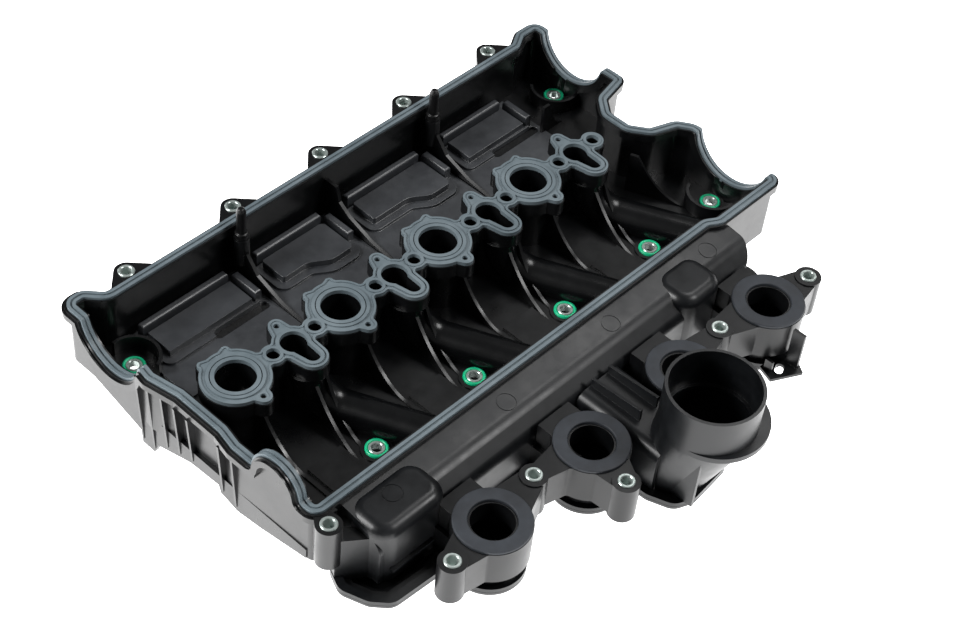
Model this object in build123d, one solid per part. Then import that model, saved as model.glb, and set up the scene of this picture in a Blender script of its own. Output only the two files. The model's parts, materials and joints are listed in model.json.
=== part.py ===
"""Combined intake manifold and camshaft cover for an in-line four-cylinder engine.

The cover lies sealing side up.  X runs along the row of cylinders, Y from the
intake flange to the bolt ears, Z out of the sealing plane.  The origin is the
mouth of injector bore 1 in the sealing plane.  All lengths are millimetres.
"""
from build123d import *
import os

os.makedirs("parts", exist_ok=True)

# ---------------------------------------------------------------- driving sizes
CYLINDERS = 4
PITCH = 88.0                 # distance between two cylinders
CYL_X = [PITCH * i for i in range(CYLINDERS)]
WALL = 3.0                   # moulded wall
BIG = 400.0                  # reach of the cutting blocks

FLOOR_TOP = -45.0            # inner floor of the camshaft cover
FLOOR_BOTTOM = -48.5
RIM_WIDTH = 9.0              # rim that carries the perimeter gasket
RIM_TOP = 1.5                # rim lies this far under the sealing plane
RIM_DEPTH = 7.5
LEDGE_REACH = 6.3            # ledge outside the left end wall, from the gasket's centre line
LEDGE_TOP = 3.0
GASKET_WIDTH = 5.6
GROOVE_GAP = 0.5             # free room on each side of the gasket in its groove
GASKET_DEPTH = 3.5           # gasket foot under the sealing plane
BEAD_HEIGHT = 1.0

INJECTOR_R = 13.1
CHIMNEY_R = 19.5
RING_R = 22.5
PAD_TOP = -3.0               # moulded pads that carry the centre gasket
PAD_DEPTH = 10.0
PAD_MARGIN = 0.8
WEB = 2.2                    # thickness of the webs on the floor

SCREW_R = 3.5                # hole through a steel limiter
LIMITER_R = 5.45
SEAL_R = 7.8
SEAL_TOP = 2.8               # green seals stand this far above the floor
EAR_R = 8.3
WEDGES = [(46, -68), (35, -68), (22, -56), (10, -52), (-2, -48), (-30, -52), (-42, -56)]   # (y, lowest z)
EAR_X = [9.1, 98.9, 177.8, 258.4, 344.7]
EAR_Y = 114.8
EAR_TOP = -2.0
EAR_BOTTOM = -30.0
CORNER_BOSS = (-35.4, -120.0)
CORNER_BOTTOM = -35.0
FLOOR_BOLTS = [(49 + PITCH * i, -74.8) for i in range(CYLINDERS)] + [
    (381.5, -73.6), (384.0, 79.4), (-16.7, 79.4)]

PORT_DX = 41.0               # first intake port, from injector bore 1
PORT_Y = -178.5
PORT_R = 13.7
PORT_TUBE_R = 20.0
PORT_RING_R = 24.3
PORT_TOP = -12.0
PORT_SEAL = 2.0
PORT_MID_X = PORT_DX + 1.5 * PITCH
PORT_BOLT_PAIRS = [(170.2, -182.6), (89.2, -171.8), (52.0, -213.1)]   # (half spacing, y)
PORT_BOSS_R = 9.0
PORT_BOSS_BOTTOM = -40.0

RUNNER_R = 12.5
RUNNER_BORE_R = 9.8
RUNNER_LOW = -42.0           # centre line at the foot of the elbow
RUNNER_END = -38.0           # centre line where it enters the plenum
RUNNER_BEND = 26.0
RUNNER_SHIFT = 42.0          # a runner leans this far along the row

PLENUM_X = (-19.0, 336.0)
PLENUM_Y = (-146.0, -110.5)
PLENUM_TOP = -4.0
EJECTORS = [(8, -128), (110, -124), (208, -124), (307, -124)]      # marks of the mould's ejector pins
WELD_Z = -50.0               # plane of the vibration weld under the manifold
WELD_T = 3.0
PAN_STEPS = [(5.0, 8.0), (10.0, 13.0)]       # (inset, depth) of the pan's two steps

THROTTLE = (184.5, -222.0)
THROTTLE_R = 31.0
THROTTLE_WALL = 2.2
THROTTLE_TOP = 33.0
THROTTLE_STEP = 4.0
COLLAR_Z = 1.0
DUCT_X = (152.5, 193.5)

PIN_X = (88.0, 267.0)
PIN_Y = 94.0

# Centre line of the perimeter gasket: corner points and the radius at each.
RAIL = [(-35.5, -109, 5), (322, -109, 9), (331, -114.5, 9), (392.5, -114.5, 5), (392.5, -41, 8),
        (386, -31, 7), (366, -24, 9), (356, -10, 9), (356, 10, 9), (367, 23, 8), (392.5, 28.5, 4),
        (392.5, 111.5, 5), (376, 111.5, 6), (364, 104.5, 6), (-14, 104.5, 10), (-25, 116.5, 6),
        (-36.5, 116.5, 6), (-36.5, 44, 4), (-38, 35, 4), (-33.5, 12, 8), (-33.5, -26, 8),
        (-36.5, -41, 6)]
# Camshaft clearances in the end walls: (y of the axis, z of the centre, radius).
LEFT_DIP = (72.0, 3.2, 27.2)
LEFT_MOON = (-78.5, 0.0, 20.5)
RIGHT_DIPS = [(72.5, 3.7, 28.7), (-77.5, 5.5, 31.0)]
LEFT_END_X = -28.7
RIGHT_END_X = 387.5


# ---------------------------------------------------------------- small helpers
def cyl(x, y, r, z0, z1):
    """Upright cylinder from z0 to z1."""
    return Pos(x, y, z0) * extrude(Circle(r), z1 - z0)


def slab(x0, x1, y0, y1, z0, z1):
    """Block between two corners."""
    return Pos((x0 + x1) / 2, (y0 + y1) / 2, (z0 + z1) / 2) * Box(x1 - x0, y1 - y0, z1 - z0)


def prism(face, z0, z1):
    """Flat face raised between two heights."""
    return Pos(0, 0, z0) * extrude(face, z1 - z0)


def rounded(points):
    """Closed outline with its own radius at each corner."""
    places = [(x, y) for x, y, _ in points]
    edges = []
    count = len(places)
    starts = []
    ends = []
    for i, (x, y, r) in enumerate(points):
        here = Vector(x, y)
        back = (Vector(*places[i - 1]) - here).normalized()
        ahead = (Vector(*places[(i + 1) % count]) - here).normalized()
        half = back.get_angle(ahead) / 2
        reach = r / max(tan_deg(half), 1e-6)
        middle = (back + ahead).normalized()
        centre = here + middle * (r / sin_deg(half))
        starts.append(here + back * reach)
        ends.append(here + ahead * reach)
        edges.append(ThreePointArc(starts[-1], centre - middle * r, ends[-1]))
    for i in range(count):
        edges.append(Line(ends[i], starts[(i + 1) % count]))
    return make_face(edges)


def tan_deg(angle):
    """Tangent of an angle in degrees."""
    return Vector(1, 0).rotate(Axis.Z, angle).Y / Vector(1, 0).rotate(Axis.Z, angle).X


def sin_deg(angle):
    """Sine of an angle in degrees."""
    return Vector(1, 0).rotate(Axis.Z, angle).Y


def grown(face, amount):
    """Flat face with its outline moved outwards."""
    return offset(face, amount, kind=Kind.ARC)


def blob(*circles):
    """Flat convex shape round a few circles given as (x, y, r)."""
    shape = Sketch()
    for i, (x0, y0, r0) in enumerate(circles):
        for x1, y1, r1 in circles[i + 1:]:
            shape += make_hull((Pos(x0, y0) * Circle(r0)).edges() + (Pos(x1, y1) * Circle(r1)).edges())
    return shape


def ring_solid(x, y, r_out, r_in, z0, z1):
    """Upright tube."""
    return cyl(x, y, r_out, z0, z1) - cyl(x, y, r_in, z0 - 1, z1 + 1)


def save(name, shape):
    """Write one sub-part, or one group of separate solids."""
    export_step(shape, f"parts/{name}.step")
    print(f"{name:24s} solids {len(shape.solids()):3d}  volume {shape.volume / 1000:9.2f} cm3")


# ---------------------------------------------------------------- sealing surface
RAIL_FACE = rounded(RAIL)


def end_region(dips, moon, drop):
    """Region under the sealing line of an end wall, in (y, z), lowered by drop."""
    region = Pos(0, -BIG / 2) * Rectangle(BIG, BIG)
    for y, z, r in dips:
        region -= Pos(y, z) * Circle(r)
    if moon:
        region += Pos(moon[0], moon[1]) * Circle(moon[2])
    corners = [v for v in region.vertices() if abs(v.Y) < 0.01 and abs(v.X) < 130]
    region = fillet(corners, 3.0)
    if drop:
        region = grown(region, -drop)
    return region


def below_seal(drop):
    """Everything lower than the sealing line by drop."""
    left = extrude(Plane.YZ.offset(-BIG) * end_region([LEFT_DIP], LEFT_MOON, drop), BIG + LEFT_END_X)
    right = extrude(Plane.YZ.offset(RIGHT_END_X) * end_region(RIGHT_DIPS, None, drop), BIG)
    middle = slab(LEFT_END_X, RIGHT_END_X, -BIG / 2, BIG / 2, -BIG, -drop)
    return left + middle + right


def rail_band(width):
    """Band of one width along the gasket's centre line."""
    return grown(RAIL_FACE, width / 2) - grown(RAIL_FACE, -width / 2)


UNDER_RIM = below_seal(RIM_TOP)
UNDER_FOOT = below_seal(GASKET_DEPTH)


def perimeter_gasket():
    """Silicone cord with a foot and two beads, pressed in the rim's groove."""
    body = prism(rail_band(GASKET_WIDTH), -60, 60) & (below_seal(0) - UNDER_FOOT)
    valley = prism(rail_band(1.4), -60, 60) - below_seal(BEAD_HEIGHT)
    return body - valley


# ---------------------------------------------------------------- centre gasket
def kidney_x(x):
    """Centre of the upper intake port that belongs to a cylinder."""
    return x + 44.8


def port_hole(x):
    """Round port with a narrow lobe towards the front, flat."""
    k = kidney_x(x)
    return Pos(k, -3) * Circle(8.8) + blob((k, -4, 6.8), (k + 1.2, -19.5, 4.8))


def ring_outline(x):
    """Injector ring with its two small corners and its tab, flat."""
    ring = Pos(x, 0) * Circle(RING_R)
    for side in (-1, 1):
        ring += blob((x, 10, 10), (x + side * 9.5, 20.5, 3))
    return ring + blob((x, -12, 9), (x + 2, -23.5, 5.2))


def kidney_outline(x):
    """Port seal with its two screw eyes and its upper tab, flat."""
    k = kidney_x(x)
    shape = grown(port_hole(x), 5.0)
    for eye in (k - 16, k + 19):
        shape += Pos(eye, -2) * Circle(8.0)
        shape += blob((eye, -2, 5.5), (k, -3, 6))
    return shape + blob((k, 0, 9), (k + 1.7, 14.5, 5.4))


def centre_outline():
    """The whole string of rings and port seals, flat and without holes."""
    shape = Sketch()
    for x in CYL_X:
        shape += ring_outline(x)
        shape += kidney_outline(x)
    smooth = grown(grown(shape, 2.5), -2.5)
    return smooth


def screw_eyes(x):
    """Centres of the two screw holes beside an upper port."""
    return [(kidney_x(x) - 16, -2), (kidney_x(x) + 19, -2)]


def tab_eyes(x):
    """Centres of the two small locating holes of a cylinder."""
    return [(x + 2, -23.0), (kidney_x(x) + 1.7, 14.5)]


CENTRE = centre_outline()


def centre_gasket():
    """One silicone moulding with a raised bead round every opening."""
    body = prism(CENTRE, PAD_TOP, -BEAD_HEIGHT)
    body += prism(CENTRE - grown(CENTRE, -1.5), PAD_TOP, -0.3)
    for x in CYL_X:
        body += ring_solid(x, 0, 18.6, INJECTOR_R, -BEAD_HEIGHT - 0.5, 0)
        body -= ring_solid(x, 0, 16.4, 15.7, -BEAD_HEIGHT - 0.2, 1)
        body += prism(grown(port_hole(x), 2.4), -BEAD_HEIGHT - 0.5, 0)
        for ex, ey in screw_eyes(x):
            body += cyl(ex, ey, 6.4, -BEAD_HEIGHT - 0.5, 0)
    for x in CYL_X:
        body -= cyl(x, 0, INJECTOR_R, -20, 5)
        body -= prism(port_hole(x), -20, 5)
        for ex, ey in screw_eyes(x):
            body -= cyl(ex, ey, 4.5, -20, 5)
        for ex, ey in tab_eyes(x):
            body -= cyl(ex, ey, 2.0, -20, 5)
    return body


# ---------------------------------------------------------------- runners
def runner_path(x):
    """Down from the upper port, then to the front and along the row."""
    k = kidney_x(x)
    foot = (k + 1.2, -18, RUNNER_LOW)
    return FilletPolyline((k, -16, -13), foot, (k + RUNNER_SHIFT, -111, RUNNER_END), radius=RUNNER_BEND)


def runner_solid(x, r):
    """A runner as a full rod."""
    path = runner_path(x)
    section = Plane(origin=path @ 0, z_dir=path % 0) * Circle(r)
    return sweep(section, path=path)


# ---------------------------------------------------------------- cover tray
def back_rib(x, top):
    """Upright web from the back wall down to the floor, as (y, z) points."""
    points = [(104, top), (91, top), (88, top - 12), (78, -32),
              (56, -40), (30, -43.5), (30, -46), (104, -46)]
    section = make_face(Polyline(*points, close=True))
    return Pos(x, 0, 0) * extrude(Plane.YZ * section, 1.3, both=True)


def falling_web(start, end, z_top):
    """Web that falls in a curve from a column to the floor, from one (x, y) to another."""
    run = Vector(end[0] - start[0], end[1] - start[1])
    plane = Plane(origin=(*start, 0), x_dir=run, z_dir=Vector(run.Y, -run.X))
    low = FLOOR_TOP + 0.6
    steps = [0, 0.25, 0.5, 0.75, 1]
    edge = Spline(*[(run.length * t, low + (z_top - low) * (1 - t) ** 2.2) for t in steps])
    foot = Polyline((run.length, low), (run.length, FLOOR_TOP - 1), (-6, FLOOR_TOP - 1),
                    (-6, z_top), (0, z_top))
    return extrude(plane * make_face(edge + foot), WEB / 2, both=True)


def arc_web(x, y, r, facing, top):
    """Curved web half round a corner bolt, on the side that it faces."""
    half = Pos(x, y, 0) * Rot(0, 0, facing) * slab(2, 60, -60, 60, -60, 0)
    return ring_solid(x, y, r, r - WEB, FLOOR_TOP - 1, top) & half


def ear(x):
    """Bolt ear outside the back wall."""
    shape = blob((x, EAR_Y, EAR_R), (x - 13, 107.5, 4), (x + 13, 107.5, 4))
    return prism(shape, EAR_BOTTOM, EAR_TOP)


def wedge(y, z_low):
    """Outside web of the left end wall, deep under the rim and vanishing downwards."""
    face = make_face(Polyline((-35, -RIM_DEPTH), (-41.5, -RIM_DEPTH), (-38.4, z_low), (-35, z_low),
                              close=True))
    return Pos(0, y, 0) * extrude(Plane.XZ * face, 0.9, both=True)


def skirt():
    """Left end wall below the floor, with its stiffening webs and its scroll outside."""
    outline = [(106, -44), (101, -46), (48, -62), (47, -73), (35.5, -73), (31, -63), (0, -52), (-26, -50),
               (-28, -56), (-43, -60), (-63, -57), (-104, -48), (-104, -40), (106, -40)]
    plate = extrude(Plane.YZ.offset(-38.0) * make_face(Polyline(*outline, close=True)), WALL)
    for y, z in WEDGES:
        plate += wedge(y, z)
    scroll = Plane.YZ.offset(-41.5) * (Pos(-58.5, -5.5) * Circle(4.5))
    return plate + extrude(scroll, 6)


def floor_detail():
    """Low pads and webs that stiffen the floor."""
    detail = Part()
    for x in CYL_X:
        k = kidney_x(x)
        detail += slab(x + 6, x + 34, -98, -58, FLOOR_TOP - 1, FLOOR_TOP + 2)
        detail += falling_web((x + 2, -18), (x + 2, -62), -8)
        detail += slab(x + 2 - WEB / 2, x + 2 + WEB / 2, -108, -61, FLOOR_TOP - 1, FLOOR_TOP + 1.4)
        detail += falling_web((k - 3, -25), (k - 10.8, -76), -14)
        detail += falling_web((k + 5, -26), (k - 0.8, -67), -9)
    for x, top in ((PIN_X[0], -8), (172, -13), (PIN_X[1], -8)):
        detail += back_rib(x, top)
    for (x, y), facing in zip(FLOOR_BOLTS[4:], (190, 215, 15)):
        detail += arc_web(x, y, 18.5, facing, -34)
    detail += falling_web((352, 58), (368, 58), -20)
    detail += falling_web((350, -28), (366, -66), -12)
    return detail


def tray():
    """Cover moulding: wall, rim, floor, chimneys, port columns, ears and webs."""
    inside = grown(RAIL_FACE, -WALL / 2)
    outside = grown(RAIL_FACE, WALL / 2)
    body = prism(outside - inside, FLOOR_BOTTOM, 60) & UNDER_RIM
    rim = prism(rail_band(RIM_WIDTH), -60, 60) & (UNDER_RIM - below_seal(RIM_DEPTH))
    body += rim
    ledge = (grown(RAIL_FACE, LEDGE_REACH) - grown(RAIL_FACE, 4)) & (
        Pos(-BIG / 2 - 24, 0) * Rectangle(BIG, BIG))
    body += prism(ledge, -60, 60) & (below_seal(LEDGE_TOP) - below_seal(RIM_DEPTH))
    body += prism(outside, FLOOR_BOTTOM, FLOOR_TOP)
    body += prism(inside, -60, 60) & floor_detail()
    for x in EAR_X:
        body += ear(x) - prism(inside, -60, 60)
    body += (prism(blob((*CORNER_BOSS, EAR_R), (-33, -110, 4)), CORNER_BOTTOM, EAR_TOP)
             - prism(inside, -60, 60))
    body += skirt()
    pads = prism(grown(CENTRE, PAD_MARGIN), PAD_TOP - PAD_DEPTH, PAD_TOP)
    body += pads
    for x in CYL_X:
        body += cyl(x, 0, CHIMNEY_R, FLOOR_BOTTOM, PAD_TOP)
        body += prism(grown(port_hole(x), 3.4), FLOOR_BOTTOM, PAD_TOP)
        for ex, ey in screw_eyes(x):
            body += cyl(ex, ey, 7.0, FLOOR_BOTTOM, PAD_TOP)
    for x, y in FLOOR_BOLTS:
        body += cyl(x, y, SEAL_R + 2.6, FLOOR_BOTTOM, FLOOR_TOP + 1.0)
    for x in PIN_X:
        body += cyl(x, PIN_Y, 5.4, -30, -8)
    return body


def tray_cuts(body):
    """Openings of the cover moulding."""
    groove = prism(rail_band(GASKET_WIDTH + 2 * GROOVE_GAP), -60, 60) - UNDER_FOOT
    body -= groove
    for x in CYL_X:
        body -= cyl(x, 0, INJECTOR_R, -60, 5)
        body -= prism(port_hole(x), -34, 5)
        body -= runner_solid(x, RUNNER_R)
        for ex, ey in screw_eyes(x):
            body -= cyl(ex, ey, 4.5, -60, 5)
    for x in EAR_X:
        body -= cyl(x, EAR_Y, LIMITER_R, -60, 5)
    body -= cyl(*CORNER_BOSS, LIMITER_R, -60, 5)
    for x, y in FLOOR_BOLTS:
        body -= cyl(x, y, LIMITER_R, -60, 5)
        body -= cyl(x, y, SEAL_R, FLOOR_TOP - 2, 5)
    for x in PIN_X:
        body -= cyl(x, PIN_Y, 3.2, -22, 5)
    return body


# ---------------------------------------------------------------- intake side
PORT_X = [PORT_DX + PITCH * i for i in range(CYLINDERS)]


def flange_bolts():
    """Centres of the intake flange's bolts, mirrored about the middle of the ports."""
    return [(PORT_MID_X + side * half, y) for half, y in PORT_BOLT_PAIRS for side in (-1, 1)]


def weld_outline():
    """Outline of the manifold in the weld plane."""
    foot = [(-30, -118), (-37, -134), (-31, -151), (-22, -161), (12, -163), (40, -140), (40, -118)]
    elbow = [(150, -150), (150, -212), (156, -228), (168, -233), (204, -230), (210, -205), (196, -150)]
    shape = Pos(159, -130) * Rectangle(358, 32) + make_face(Polyline(*foot, close=True))
    shape += make_face(Polyline(*elbow, close=True))
    shape += Pos(336, -134) * Circle(15)
    for x in PORT_X:
        shape += Pos(x, PORT_Y) * Circle(PORT_TUBE_R + 1)
        shape += Pos(x, -160) * Rectangle(2 * PORT_TUBE_R - 4, 36)
    filled = grown(grown(shape, 6), -6)
    return grown(grown(filled, -8), 8)


WELD = weld_outline()
WELD_EDGE = 2.6              # width of the flange outside the walls


def runner(x):
    """Tube from an upper port to the plenum."""
    tube = runner_solid(x, RUNNER_R)
    front = slab(x - 60, x + 160, -200, -110.5, -100, 20)
    return tube - runner_solid(x, RUNNER_BORE_R) - front - prism(port_hole(x), -34, 5)


def plenum_profile(margin):
    """Cross-section of the plenum as (y, z), rounded over at the front."""
    y0, y1 = PLENUM_Y
    y0 += margin
    y1 -= margin
    top = PLENUM_TOP - margin
    outline = Polyline((y1, WELD_Z), (y1, top), (y0 + 13, top - 3), (y0, top - 15), (y0, WELD_Z),
                       close=True)
    face = make_face(outline)
    crest = [v for v in face.vertices() if abs(v.X - y0 - 13) < 0.1]
    face = fillet(crest, 15 - margin)
    shoulder = [v for v in face.vertices() if abs(v.X - y0) < 0.1 and v.Y > WELD_Z + 1]
    return fillet(shoulder, 12 - margin)


def end_block(x0, x1, y0, y1, top, margin):
    """Rounded box that swells out of the plenum."""
    face = Pos((x0 + x1) / 2, (y0 + y1) / 2) * RectangleRounded(
        x1 - x0 - 2 * margin, y1 - y0 - 2 * margin, 13)
    block = prism(face, WELD_Z, top - margin)
    rim = block.edges().filter_by_position(Axis.Z, top - margin - 0.1, top - margin + 0.1)
    return fillet(rim, 8)


def plenum_body(margin):
    """Outer form of the plenum, or its inner form when moved in by a margin."""
    x0, x1 = PLENUM_X
    y0, y1 = PLENUM_Y
    body = Pos(x0 + margin, 0, 0) * extrude(Plane.YZ * plenum_profile(margin), x1 - x0 - 2 * margin)
    front = y0 + margin
    right = x1 - margin
    plan = rounded([(x0, front, 1), (right, front, 16 - margin), (right, y1 + 5, 1), (x0, y1 + 5, 1)])
    body &= prism(plan, WELD_Z - 1, 0)
    body += end_block(-20, 37, -149, -113.5, -3.5, margin)
    return body + end_block(256, 297, -149.4, -114, -4.6, margin)


def plenum():
    """Upper half of the plenum with its weld flange, end blocks and ejector marks."""
    web = make_face(Polyline((-36, -126), (-33, -128), (-17, -140), (-17, -130), (-30, -113), close=True))
    flange = prism(grown(WELD, WELD_EDGE) - grown(WELD, -WALL), WELD_Z, WELD_Z + WELD_T)
    outer = plenum_body(0)
    shell = outer + prism(web, WELD_Z, -13) + flange - plenum_body(WALL)
    for x, y in EJECTORS:
        shell -= ring_solid(x, y, 6.6, 6.0, -30, 0) & (outer - plenum_body(0.35))
    return shell + slab(-12, 22, -151.2, -147, -40, -38)


def port_neck(x, margin):
    """Duct from the lower shell up into one intake port."""
    half = PORT_TUBE_R - 3 - margin
    neck = slab(x - half, x + half, PORT_Y, -144, WELD_Z, -30 - margin)
    return neck + cyl(x, PORT_Y, PORT_TUBE_R - margin, WELD_Z, -24 - margin)


def flange_plate():
    """Plan of the plate that joins the ports and the bolt bosses."""
    bolts = sorted(flange_bolts())
    shape = Sketch()
    for x in PORT_X:
        shape += Pos(x, PORT_Y) * Circle(PORT_RING_R + 0.4)
        shape += Pos(x, PORT_Y + 20) * Rectangle(28, 24)
    for x, y in bolts:
        near = min(PORT_X, key=lambda p: abs(p - x))
        shape += blob((x, y, PORT_BOSS_R - 1.2), (near, PORT_Y, PORT_TUBE_R - 2))
    for x, y in bolts[1:-1]:
        if y > -200:
            second = sorted(PORT_X, key=lambda p: abs(p - x))[1]
            shape += blob((x, y, PORT_BOSS_R - 3), (second, PORT_Y + 4, PORT_TUBE_R - 6))
    return grown(grown(shape, 3), -3)


def port_flange():
    """Intake flange: four ports, the plate between them and six bolt bosses."""
    plate = flange_plate()
    body = prism(plate, PORT_TOP - 26, PORT_TOP)
    body -= prism(grown(plate, -WALL), PORT_TOP - 26.5, PORT_TOP - WALL)
    for x in PORT_X:
        body += cyl(x, PORT_Y, PORT_TUBE_R, WELD_Z + WELD_T, PORT_TOP)
        body += port_neck(x, 0)
    for x, y in flange_bolts():
        body += cyl(x, y, PORT_BOSS_R, PORT_BOSS_BOTTOM, PORT_TOP + 1)
    for x in PORT_X:
        body -= port_neck(x, WALL)
        body -= cyl(x, PORT_Y, PORT_R, -60, 5)
        body -= ring_solid(x, PORT_Y, PORT_RING_R + 0.1, PORT_R + 1.2, PORT_TOP - 1.2, 5)
    for x, y in flange_bolts():
        body -= cyl(x, y, LIMITER_R, -60, 5)
    return body


def port_seal(x):
    """Flat rubber ring that seals one intake port."""
    return ring_solid(x, PORT_Y, PORT_RING_R, PORT_R + 1.3, PORT_TOP - 1.2, PORT_TOP + PORT_SEAL)


def throttle():
    """Inlet stub, elbow and duct to the plenum."""
    tx, ty = THROTTLE

    def elbow(margin):
        top = Plane((tx, ty, COLLAR_Z)) * Circle(THROTTLE_R - margin)
        low = Plane((180, -208, WELD_Z)) * Circle(23 - margin)
        x0, x1 = DUCT_X
        duct = slab(x0 + margin, x1 - margin, -212, PLENUM_Y[0] - 0.1, WELD_Z, -14 - margin)
        edges = duct.edges().filter_by(Axis.Y).filter_by_position(Axis.Z, -30, 0)
        return loft([top, low]) + fillet(edges, 8)

    body = elbow(0)
    for x in (166, 182):
        web = make_face(Polyline((-146.1, -20), (-146.1, -8), (-186, -5), (-186, -20), close=True))
        body += Pos(x, 0, 0) * extrude(Plane.YZ * web, 1.0, both=True)
    body += slab(160, 162.4, -238, -205, WELD_Z + WELD_T, COLLAR_Z - 1)
    body -= elbow(WALL)
    stub = (cyl(tx, ty, THROTTLE_R, COLLAR_Z, THROTTLE_TOP)
            + cyl(tx + 4, ty - 2, 34.5, COLLAR_Z, COLLAR_Z + 4))
    stub -= cyl(tx, ty, THROTTLE_R - THROTTLE_WALL, THROTTLE_STEP, THROTTLE_TOP + 5)
    stub -= cyl(tx, ty, THROTTLE_R - WALL - 1.4, COLLAR_Z - 1, THROTTLE_STEP + 1)
    return body + stub


def lower_shell():
    """Shallow stepped pan welded under the manifold, with stiffening webs outside."""
    body = prism(grown(WELD, WELD_EDGE), WELD_Z - WELD_T, WELD_Z)
    for inset, depth in PAN_STEPS:
        body += prism(grown(WELD, -inset), WELD_Z - depth, WELD_Z)
    for inset, depth in PAN_STEPS:
        body -= prism(grown(WELD, -inset - WALL), WELD_Z - depth + WALL, WELD_Z + 1)
    return body


def bracket():
    """Plate with a slot that carries a cable clip, and its upright web."""
    outline = Polyline((283, -196), (279, -208), (300, -219), (308, -207), (302, -196), close=True)
    plate = prism(make_face(outline), -47, -44.5)
    plate += slab(299, 301.4, -214, -204.5, -46, -14)
    plate += slab(284, 286, -204, -198, -46, -36)
    slot = Pos(291, -206) * SlotOverall(9, 5.6, 25)
    return plate - prism(slot, -60, -40)


# ---------------------------------------------------------------- inside the cover
BAYS = [(-8, 86.4), (89.6, 170.4), (173.6, 265.4), (268.6, 350)]      # floor between the webs, along X


def pad_plan(x0, x1, wavy):
    """Plan of a separator pad; in the middle bays its front edge swings forward."""
    if not wavy:
        return Pos((x0 + x1) / 2, 79) * Rectangle(x1 - x0, 22)
    return rounded([(x0, 90, 2), (x0, 68, 2), (x1 - 34, 68, 14),
                    (x1 - 20, 59, 12), (x1, 59, 4), (x1, 90, 4)])


def bar(x0, x1, y0, y1, top):
    """Raised bar with a rounded top."""
    body = slab(x0, x1, y0, y1, FLOOR_TOP + 1, top)
    return fillet(body.edges().group_by(Axis.Z)[-1], 1.8)


def baffle(x0, x1, wavy):
    """Oil separator plate of one bay: raised pad, ledge, bars and, in the end bays, a drain slot."""
    z0 = FLOOR_TOP
    pad = pad_plan(x0 + 12, x1 - 13, wavy)
    plate = slab(x0, x1, 34, 100.5, z0, z0 + 2)
    plate += prism(grown(pad, 6), z0 + 1, z0 + 4) & slab(x0, x1, 34, 92, z0, 0)
    plate += prism(pad, z0 + 1, z0 + 9)
    plate += bar(x0 + 10, x1 - 12, 92.5, 98, z0 + 13)
    plate += bar(x1 - 10, x1 - 4.5, 68, 92, z0 + 12)
    if not wavy:
        slot = Pos(x1 - 26, 63, z0 - 1) * extrude(SlotOverall(46, 7), 20)
        plate -= slot
    for x in PIN_X:
        plate -= cyl(x, PIN_Y, 5.7, z0 - 1, 0)
    return plate


def limiter(x, y, z0, z1):
    """Steel compression limiter."""
    return ring_solid(x, y, LIMITER_R, SCREW_R, z0, z1)


def pin(x):
    """Plastic locating pin with a shoulder and a pointed tip."""
    body = cyl(x, PIN_Y, 3.2, -22, -8) + cyl(x, PIN_Y, 4.6, -8, -3) + cyl(x, PIN_Y, 3.4, -3, 15)
    tip = Pos(x, PIN_Y, 15) * extrude(Circle(3.4), 3, taper=25)
    return body + tip


# ---------------------------------------------------------------- write the parts
RUNNERS = [runner(x) for x in CYL_X]
COVER = tray_cuts(tray())
BAFFLES = [(baffle(x0, x1, 0 < i < 3) - COVER).solids().sort_by(SortBy.VOLUME)[-1]
           for i, (x0, x1) in enumerate(BAYS)]
PLENUM = plenum() - COVER - cyl(*CORNER_BOSS, EAR_R, CORNER_BOTTOM, 0)
for x in CYL_X:
    PLENUM -= runner_solid(x, RUNNER_BORE_R)
PLENUM = PLENUM.solids().sort_by(SortBy.VOLUME)[-1]
FLANGE = port_flange() - PLENUM
RING_ROOM = cyl(PORT_X[2], PORT_Y, PORT_RING_R + 0.4, PORT_TOP - 1.4, 0)
THROTTLE_BODY = throttle() - PLENUM - FLANGE - RING_ROOM
BRACKET = bracket() - FLANGE - PLENUM

save("cover_tray", COVER)
save("perimeter_gasket", perimeter_gasket())
save("centre_gasket", centre_gasket())
for i, tube in enumerate(RUNNERS):
    save(f"runner_{i + 1}", tube)
for i, plate in enumerate(BAFFLES):
    save(f"separator_plate_{i + 1}", plate)
save("plenum_upper", PLENUM)
left_half, right_half = sorted([s for s in FLANGE.solids() if s.volume > 1000], key=lambda s: s.center().X)
save("port_flange_left", left_half)
save("port_flange_right", right_half)
save("throttle_inlet", THROTTLE_BODY)
save("lower_shell", lower_shell())
save("cable_bracket", BRACKET)
for i, x in enumerate(PORT_X):
    save(f"port_seal_{i + 1}", port_seal(x))
for i, x in enumerate(PIN_X):
    save(f"locating_pin_{i + 1}", pin(x))
save("ear_limiters", Compound([limiter(x, EAR_Y, EAR_BOTTOM, -1) for x in EAR_X]))
save("corner_limiter", limiter(*CORNER_BOSS, CORNER_BOTTOM, -1))
save("flange_limiters", Compound(
    [limiter(x, y, PORT_BOSS_BOTTOM, PORT_TOP + 2) for x, y in flange_bolts()]))
save("floor_limiters", Compound([limiter(x, y, FLOOR_BOTTOM, FLOOR_TOP + 2.6) for x, y in FLOOR_BOLTS]))
save("floor_seals", Compound([ring_solid(x, y, SEAL_R, LIMITER_R, FLOOR_TOP - 2, FLOOR_TOP + SEAL_TOP)
                              for x, y in FLOOR_BOLTS]))
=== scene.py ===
# %% [markdown]
# # Intake manifold with its camshaft cover
# The part is a large nylon moulding that closes the top of an engine.  It lies sealing side up, so the
# blue-grey gaskets, the green bolt seals and the bright steel limiters all show.  The CAD model already
# holds every shape.  This lesson rounds the edges of the mouldings, turns the sleeves and the rings as
# better pieces, and gives each piece its finish.

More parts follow.
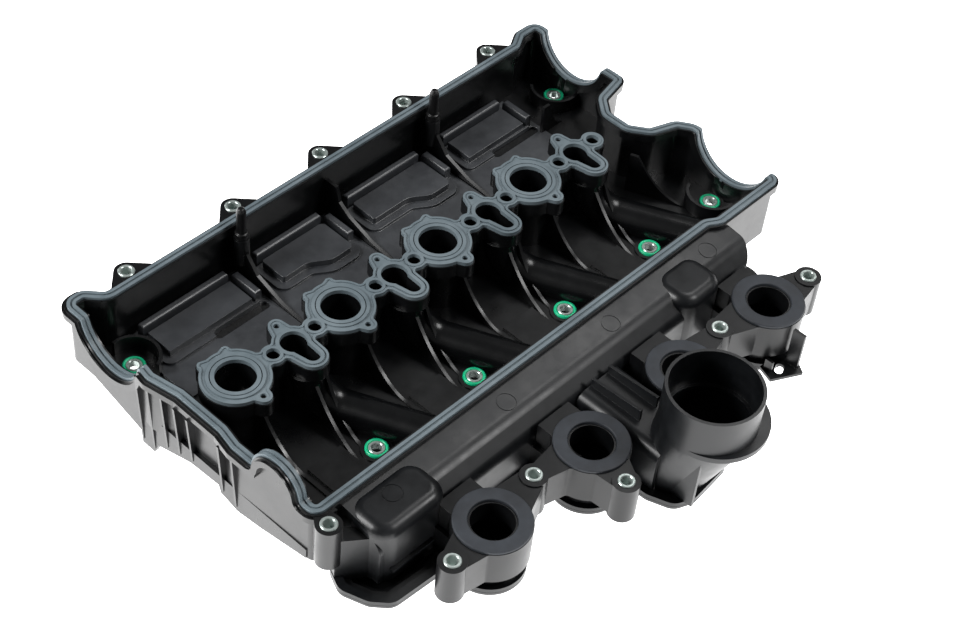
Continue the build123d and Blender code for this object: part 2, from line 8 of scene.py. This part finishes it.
# %% Load the frame
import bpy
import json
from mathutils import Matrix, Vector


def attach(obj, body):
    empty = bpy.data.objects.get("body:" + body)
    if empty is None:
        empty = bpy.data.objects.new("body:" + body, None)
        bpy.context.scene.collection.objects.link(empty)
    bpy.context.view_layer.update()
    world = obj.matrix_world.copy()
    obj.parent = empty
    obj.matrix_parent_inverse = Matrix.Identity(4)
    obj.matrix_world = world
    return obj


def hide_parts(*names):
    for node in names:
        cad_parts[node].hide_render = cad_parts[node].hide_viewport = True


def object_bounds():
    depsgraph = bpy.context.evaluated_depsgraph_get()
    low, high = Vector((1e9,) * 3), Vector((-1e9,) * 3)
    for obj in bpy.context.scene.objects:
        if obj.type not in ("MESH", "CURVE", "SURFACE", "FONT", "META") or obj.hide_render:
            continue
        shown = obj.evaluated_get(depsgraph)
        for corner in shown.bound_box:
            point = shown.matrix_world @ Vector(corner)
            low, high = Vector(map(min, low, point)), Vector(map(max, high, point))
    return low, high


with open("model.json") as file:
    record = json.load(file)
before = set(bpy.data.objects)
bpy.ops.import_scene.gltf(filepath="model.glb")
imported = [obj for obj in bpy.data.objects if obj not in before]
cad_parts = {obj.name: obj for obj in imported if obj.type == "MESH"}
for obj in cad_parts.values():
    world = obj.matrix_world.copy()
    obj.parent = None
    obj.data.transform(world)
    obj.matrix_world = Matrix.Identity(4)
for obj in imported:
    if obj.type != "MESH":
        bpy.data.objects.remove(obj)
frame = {"nodes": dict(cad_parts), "record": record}
cad_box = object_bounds()
print("CAD nodes:", len(frame["nodes"]), "box:", cad_box)

# %% Tools used in every cell
import json
import math

import bmesh
import bpy
from mathutils import Matrix, Vector

MM = 0.001
nodes = frame["nodes"]
scene = bpy.context.scene

# %% [markdown]
# ## Camera
# The part is seen from its front left corner, from above.  The camera is set up as on a tripod: an
# azimuth round the part, an elevation above the sealing plane, a small roll, and a lens of 73 mm.

# %% Camera
AZIMUTH = math.radians(-50.77)
ELEVATION = math.radians(46.41)
ROLL = math.radians(6.06)
LENS_MM = 73.17
SENSOR_MM = 36.0
NEAREST = 0.05               # nothing nearer to the lens than this is drawn
CAMERA_PLACE = Vector((-0.5152, -0.6069, 0.8939))


def camera_axes():
    """Right, up and back directions of the camera."""
    back = Vector((math.sin(AZIMUTH) * math.cos(ELEVATION), -math.cos(AZIMUTH) * math.cos(ELEVATION),
                   math.sin(ELEVATION)))
    level = Vector((math.cos(AZIMUTH), math.sin(AZIMUTH), 0))
    upright = back.cross(level)
    right = level * math.cos(ROLL) + upright * math.sin(ROLL)
    up = upright * math.cos(ROLL) - level * math.sin(ROLL)
    return right, up, back


def add_camera():
    """One camera with no shift and no depth of field."""
    data = bpy.data.cameras.new("camera")
    data.sensor_width = SENSOR_MM
    data.lens = LENS_MM
    data.clip_start = NEAREST
    camera = bpy.data.objects.new("camera", data)
    right, up, back = camera_axes()
    turn = Matrix((right, up, back)).transposed().to_4x4()
    camera.matrix_world = Matrix.Translation(CAMERA_PLACE) @ turn
    scene.collection.objects.link(camera)
    scene.camera = camera
    return camera


camera = add_camera()
print("camera at", tuple(round(v, 3) for v in camera.location))

# %% [markdown]
# ## Floor and light
# A plain pale floor lies under the lowest point.  Black satin nylon shows almost nothing but what it
# reflects, so the light is a few soft boxes with dark gaps between them.  One high on the right draws the
# long highlight on the plenum.  One at the back left lights the end wall.  A small one in front puts a
# spot on each runner's elbow.  The floor glows like a light table: its reflection makes the outer walls
# light grey, while the inside of the cover stays black.  A dark card just under the cover, smaller than
# it and hidden by it, is painted shade: it keeps that glow out of the bores and bolt holes, standing in
# for the shade under the cover.

# %% Floor and light
FLOOR_Z = cad_box[0][2] - 0.5 * MM
FLOOR_GLOW = 2.2
# Height of the painted-shade card.
CARD_Z = -60 * MM            # just under the cover, above the floor
MIDDLE = (0.17, -0.03, -0.02)
WORLD_LIGHT = 0.12


def add_sheet(name, low, high, z, grey, glow):
    """Flat sheet of paper or card under the part, between two corners in plan."""
    mesh = bpy.data.meshes.new(name)
    corners = [(low[0], low[1], z), (high[0], low[1], z), (high[0], high[1], z), (low[0], high[1], z)]
    mesh.from_pydata(corners, [], [(0, 1, 2, 3)])
    sheet = bpy.data.objects.new(name, mesh)
    scene.collection.objects.link(sheet)
    material = bpy.data.materials.new(name)
    material.use_nodes = True
    shader = material.node_tree.nodes["Principled BSDF"]
    shader.inputs["Base Color"].default_value = (grey, grey, grey, 1)
    shader.inputs["Roughness"].default_value = 0.9
    shader.inputs["Emission Color"].default_value = (1, 1, 1, 1)
    shader.inputs["Emission Strength"].default_value = glow
    mesh.materials.append(material)
    return sheet


def add_area(name, place, size, power):
    """Rectangular soft box aimed at the middle of the part."""
    data = bpy.data.lights.new(name, "AREA")
    data.shape = "RECTANGLE"
    data.size, data.size_y = size
    data.energy = power
    light = bpy.data.objects.new(name, data)
    aim = Vector(MIDDLE) - Vector(place)
    light.matrix_world = Matrix.Translation(place) @ aim.to_track_quat("-Z", "Y").to_matrix().to_4x4()
    scene.collection.objects.link(light)
    return light


add_sheet("floor", (-4, -4), (4, 4), FLOOR_Z, grey=0.85, glow=FLOOR_GLOW)
# Painted shade: a dark sheet hidden under the cover darkens the bores and bolt holes.
add_sheet("shade_card", (-0.024, -0.09), (0.388, 0.088), CARD_Z, grey=0.25, glow=0)
add_area("box_right", (0.95, -0.02, 1.25), size=(0.5, 0.7), power=7)
add_area("box_left", (-1.1, 0.7, 0.9), size=(0.6, 0.6), power=30)
add_area("box_front", (0.75, -0.95, 1.0), size=(0.35, 0.35), power=9)
world = bpy.data.worlds.new("studio")
world.use_nodes = True
world.node_tree.nodes["Background"].inputs["Color"].default_value = (1, 1, 1, 1)
world.node_tree.nodes["Background"].inputs["Strength"].default_value = WORLD_LIGHT
scene.world = world
scene.view_settings.view_transform = "Standard"

# %% [markdown]
# ## Finished copies of the CAD pieces
# A CAD mesh is loose triangles with knife edges.  A moulded edge is never that sharp, and its small
# round is what catches the light.  So each CAD piece is copied, its triangles are joined and merged into
# flat faces, and its edges are rounded by a few tenths of a millimetre.

# %% Rounded copy of a CAD piece
SHARP = math.radians(28)
WELD = 0.02 * MM             # corners nearer than this are one corner
FLAT_WEIGHT = 80             # how strongly large faces set the shading of their corners


def slot_of(name):
    """Material slot that the record gives a CAD node."""
    for part in frame["record"]["subparts"]:
        if part["node"] == name:
            return part["material_slot"]
    return frame["record"]["materials"][0]["slot"]


def stand_in(name, piece):
    """Put a piece in the place of a CAD node: hide the node and attach the piece to the root body."""
    scene.collection.objects.link(piece)
    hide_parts(name)
    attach(piece, "root")


def finished_copy(name, round_mm, flat_deg):
    """Joined, rounded and smooth-shaded copy of a CAD node, which it replaces."""
    mesh = bpy.data.meshes.new(name + "_finished")
    bm = bmesh.new()
    bm.from_mesh(nodes[name].data)
    bmesh.ops.remove_doubles(bm, verts=bm.verts, dist=WELD)
    if flat_deg:
        bmesh.ops.dissolve_limit(bm, angle_limit=math.radians(flat_deg), verts=bm.verts, edges=bm.edges,
                                 use_dissolve_boundaries=False, delimit={"NORMAL"})
    for face in bm.faces:
        face.smooth = True
    bm.to_mesh(mesh)
    bm.free()
    piece = bpy.data.objects.new(name + "_finished", mesh)
    bevel = piece.modifiers.new("rounding", "BEVEL")
    bevel.width = round_mm * MM
    bevel.segments = 2
    bevel.limit_method = "ANGLE"
    bevel.angle_limit = SHARP
    mesh.set_sharp_from_angle(angle=SHARP)
    weighted = piece.modifiers.new("flat_shading", "WEIGHTED_NORMAL")
    weighted.keep_sharp = False
    weighted.weight = FLAT_WEIGHT
    stand_in(name, piece)
    return piece


# %% [markdown]
# ## Finishes
# Nylon with glass fibre is nearly black, satin, and never quite even: it has a fine grain, and broad
# patches where it flowed differently.  One node group makes those two masks, and each material places it
# with its own values.

# %% Node group: moulded surface
GRAIN = 2500                 # noise scale of the mould's grain, in cells per metre
STREAKS_IN_GRAIN = 0.35      # share of the flow streaks in the height
STREAKS_IN_PATCHES = 0.4


def add_node(tree, kind, **settings):
    """New node with its settings."""
    node = tree.nodes.new(kind)
    for key, value in settings.items():
        setattr(node, key, value)
    return node


def noise(tree, coordinate, scale, detail, roughness=0.5):
    """Noise on given coordinates."""
    node = add_node(tree, "ShaderNodeTexNoise")
    node.inputs["Scale"].default_value = scale
    node.inputs["Detail"].default_value = detail
    node.inputs["Roughness"].default_value = roughness
    tree.links.new(coordinate, node.inputs["Vector"])
    return node


def ranged(tree, value, low, high, to_low, to_high):
    """Value mapped from one range to another, clamped."""
    node = add_node(tree, "ShaderNodeMapRange", clamp=True)
    node.inputs["From Min"].default_value = low
    node.inputs["From Max"].default_value = high
    node.inputs["To Min"].default_value = to_low
    node.inputs["To Max"].default_value = to_high
    tree.links.new(value, node.inputs["Value"])
    return node.outputs["Result"]


def share_added(group, added, share, base):
    """One noise plus a share of another."""
    node = add_node(group, "ShaderNodeMath", operation="MULTIPLY_ADD")
    node.inputs[1].default_value = share
    group.links.new(added.outputs["Fac"], node.inputs[0])
    group.links.new(base.outputs["Fac"], node.inputs[2])
    return node.outputs[0]


def moulded_surface_group():
    """Grain height and broad patches of a moulded piece."""
    group = bpy.data.node_groups.new("moulded_surface", "ShaderNodeTree")
    scale = group.interface.new_socket("Grain scale", in_out="INPUT", socket_type="NodeSocketFloat")
    scale.default_value = GRAIN
    for label in ("Height", "Patches"):
        group.interface.new_socket(label, in_out="OUTPUT", socket_type="NodeSocketFloat")
    place = add_node(group, "ShaderNodeTexCoord").outputs["Object"]
    given = add_node(group, "NodeGroupInput")
    result = add_node(group, "NodeGroupOutput")
    grain = noise(group, place, scale=GRAIN, detail=3)
    group.links.new(given.outputs["Grain scale"], grain.inputs["Scale"])
    broad = noise(group, place, scale=22, detail=4, roughness=0.6)
    streaks = noise(group, place, scale=140, detail=3, roughness=0.55)
    height = share_added(group, streaks, STREAKS_IN_GRAIN, grain)
    patches = share_added(group, streaks, STREAKS_IN_PATCHES, broad)
    group.links.new(height, result.inputs["Height"])
    group.links.new(patches, result.inputs["Patches"])
    return group


MOULDED = moulded_surface_group()
print("group outputs:", [s.name for s in MOULDED.interface.items_tree if s.in_out == "OUTPUT"])


# %% Materials from the group
PATCH_RANGE = (0.5, 0.95)    # values of the broad patches between the dark and the light finish


def colour_mix(tree, mask, dark, light):
    """Colour between two values by a mask."""
    node = add_node(tree, "ShaderNodeMix", data_type="RGBA")
    node.inputs["A"].default_value = (*dark, 1)
    node.inputs["B"].default_value = (*light, 1)
    tree.links.new(mask, node.inputs["Factor"])
    return node.outputs["Result"]


def moulded(name, dark, light, rough, grain=GRAIN, bump=0.12, depth_mm=0.03, metallic=0.0, specular=0.5):
    """Moulded finish: colour and roughness follow the broad patches, height follows the grain."""
    material = bpy.data.materials.new(name)
    material.use_nodes = True
    tree = material.node_tree
    shader = tree.nodes["Principled BSDF"]
    surface = add_node(tree, "ShaderNodeGroup", node_tree=MOULDED)
    surface.inputs["Grain scale"].default_value = grain
    patches = surface.outputs["Patches"]
    mask = ranged(tree, patches, *PATCH_RANGE, 0, 1)
    tree.links.new(colour_mix(tree, mask, dark, light), shader.inputs["Base Color"])
    tree.links.new(ranged(tree, patches, *PATCH_RANGE, *rough), shader.inputs["Roughness"])
    bump_node = add_node(tree, "ShaderNodeBump")
    bump_node.inputs["Strength"].default_value = bump
    bump_node.inputs["Distance"].default_value = depth_mm * MM
    tree.links.new(surface.outputs["Height"], bump_node.inputs["Height"])
    tree.links.new(bump_node.outputs["Normal"], shader.inputs["Normal"])
    shader.inputs["Metallic"].default_value = metallic
    shader.inputs["Specular IOR Level"].default_value = specular
    return material


# Each finish has its dark and light colour and its range of roughness.
FINISHES = {
    "cover_nylon": moulded("cover_nylon", (0.0022, 0.0024, 0.0027), (0.0045, 0.0048, 0.0054),
                           (0.26, 0.38), specular=0.55),
    "manifold_nylon": moulded("manifold_nylon", (0.0030, 0.0034, 0.0040), (0.0090, 0.0100, 0.0115),
                              (0.30, 0.46), specular=0.38),
    "flange_nylon": moulded("flange_nylon", (0.0026, 0.0028, 0.0032), (0.0060, 0.0064, 0.0072),
                            (0.28, 0.42), specular=0.36),
    "lower_nylon": moulded("lower_nylon", (0.0030, 0.0032, 0.0036), (0.0065, 0.0070, 0.0078),
                           (0.34, 0.46)),
    # baffle_nylon is painted sheen: the same black nylon made about ten times lighter, standing in for
    # the light its sloping pads reflect.
    "baffle_nylon": moulded("baffle_nylon", (0.0240, 0.0260, 0.0300), (0.0480, 0.0520, 0.0580),
                            (0.34, 0.46), specular=0.9),
    "runner_nylon": moulded("runner_nylon", (0.0020, 0.0022, 0.0025), (0.0040, 0.0043, 0.0048),
                            (0.20, 0.28)),
    "pin_nylon": moulded("pin_nylon", (0.0025, 0.0026, 0.0028), (0.0050, 0.0050, 0.0054),
                         (0.30, 0.42)),
    "blue_silicone": moulded("blue_silicone", (0.110, 0.142, 0.160), (0.180, 0.222, 0.245),
                             (0.40, 0.56), grain=1600, bump=0.10),
    "green_rubber": moulded("green_rubber", (0.006, 0.48, 0.22), (0.015, 0.66, 0.32),
                            (0.28, 0.40), grain=1600),
    "port_rubber": moulded("port_rubber", (0.012, 0.014, 0.018), (0.040, 0.046, 0.056),
                           (0.55, 0.75), grain=900, bump=0.35, depth_mm=0.08),
    "zinc_steel": moulded("zinc_steel", (0.40, 0.46, 0.44), (0.60, 0.67, 0.64),
                          (0.24, 0.40), grain=1800, bump=0.2, metallic=0.6),
}
print("finishes:", sorted(FINISHES))

# %% [markdown]
# ## Turned sleeves and moulded rings
# The steel limiters are short lengths of tube, cut and chamfered on a lathe, and the bolt seals and port
# seals are moulded rings with a rounded face.  All of them are solids of revolution.  So each one is a
# small profile, spun round the axis of its hole.  The axes are read from the CAD solids, because several
# equal pieces share one CAD node.

# %% Spin a profile round every hole
RING_STEPS = 72              # steps of a full turn
PORT_RING_STEPS = 96
ARC_STEPS = 6                # steps of a quarter round
RING_SHARP = math.radians(35)
SLEEVE_IN = 3.5 * MM
SLEEVE_OUT = 5.45 * MM
SLEEVE_CUT = 0.45 * MM       # chamfer at both mouths


def solid_places(name):
    """Axis and height of every separate solid of a CAD node, as (x, y, low, high)."""
    bm = bmesh.new()
    bm.from_mesh(nodes[name].data)
    bmesh.ops.remove_doubles(bm, verts=bm.verts, dist=WELD)
    left = set(bm.verts)
    places = []
    while left:
        island = [left.pop()]
        for vert in island:
            for edge in vert.link_edges:
                other = edge.other_vert(vert)
                if other in left:
                    left.remove(other)
                    island.append(other)
        xs = [v.co.x for v in island]
        ys = [v.co.y for v in island]
        zs = [v.co.z for v in island]
        places.append(((min(xs) + max(xs)) / 2, (min(ys) + max(ys)) / 2, min(zs), max(zs)))
    bm.free()
    return sorted(places)


def sleeve_profile(low, high):
    """Half section of a limiter as (radius, height): both mouths chamfered."""
    cut = SLEEVE_CUT
    return [(SLEEVE_OUT, low + cut), (SLEEVE_OUT, high - cut), (SLEEVE_OUT - cut, high),
            (SLEEVE_IN + cut, high), (SLEEVE_IN, high - cut), (SLEEVE_IN, low + cut),
            (SLEEVE_IN + cut, low), (SLEEVE_OUT - cut, low)]


def domed_profile(inner, outer, low, high, flat=0.0):
    """Half section of a rubber ring whose top is a half round, with a flat between if asked."""
    points = [(inner, low), (outer, low)]
    radius = (outer - inner) / 2 - flat / 2
    for side, start in ((1, 0.0), (-1, math.pi / 2)):
        middle = (inner + outer) / 2 + side * flat / 2
        for step in range(ARC_STEPS + 1):
            angle = start + math.pi / 2 * step / ARC_STEPS
            points.append((middle + radius * math.cos(angle), high - radius * (1 - math.sin(angle))))
    return points


def spun(name, profile_of, steps=RING_STEPS):
    """Rings of one CAD node, each a profile spun round its own axis."""
    mesh = bpy.data.meshes.new(name + "_turned")
    bm = bmesh.new()
    for x, y, low, high in solid_places(name):
        verts = [bm.verts.new((x + r, y, z)) for r, z in profile_of(low, high)]
        edges = [bm.edges.new((verts[i - 1], verts[i])) for i in range(len(verts))]
        bmesh.ops.spin(bm, geom=verts + edges, cent=(x, y, 0), axis=(0, 0, 1), angle=2 * math.pi,
                       steps=steps, use_merge=True)
    bmesh.ops.remove_doubles(bm, verts=bm.verts, dist=WELD / 4)
    bmesh.ops.recalc_face_normals(bm, faces=bm.faces)
    for face in bm.faces:
        face.smooth = True
    bm.to_mesh(mesh)
    bm.free()
    mesh.set_sharp_from_angle(angle=RING_SHARP)
    mesh.materials.append(FINISHES[slot_of(name)])
    stand_in(name, bpy.data.objects.new(name + "_turned", mesh))
    print(name, "faces:", len(mesh.polygons))


def bolt_seal_profile(low, high):
    """Green ring in a pocket of the floor."""
    return domed_profile(5.5 * MM, 7.75 * MM, low, high)


def port_seal_profile(low, high):
    """Flat ring of an intake port, rounded at both edges."""
    return domed_profile(15.0 * MM, 24.3 * MM, low, high, flat=7.4 * MM)


sleeve_nodes = [name for name in sorted(nodes) if "limiter" in name]
port_seal_nodes = [name for name in sorted(nodes) if name.startswith("port_seal")]
for name in sleeve_nodes:
    spun(name, sleeve_profile)
spun("floor_seals", bolt_seal_profile)
for name in port_seal_nodes:
    spun(name, port_seal_profile, steps=PORT_RING_STEPS)

# %% [markdown]
# ## Every other piece
# The mouldings keep the CAD shape, with rounded edges.  The gaskets keep all their triangles, because a
# flat face with many holes can't be one polygon.

# %% Round and finish the mouldings
for name in sorted(set(nodes) - {"floor_seals", *sleeve_nodes, *port_seal_nodes}):
    if "gasket" in name:
        piece = finished_copy(name, round_mm=0.3, flat_deg=0)
    else:
        piece = finished_copy(name, round_mm=0.6, flat_deg=0.6)
    piece.data.materials.clear()
    piece.data.materials.append(FINISHES[slot_of(name)])
    print(name, "faces:", len(piece.data.polygons))
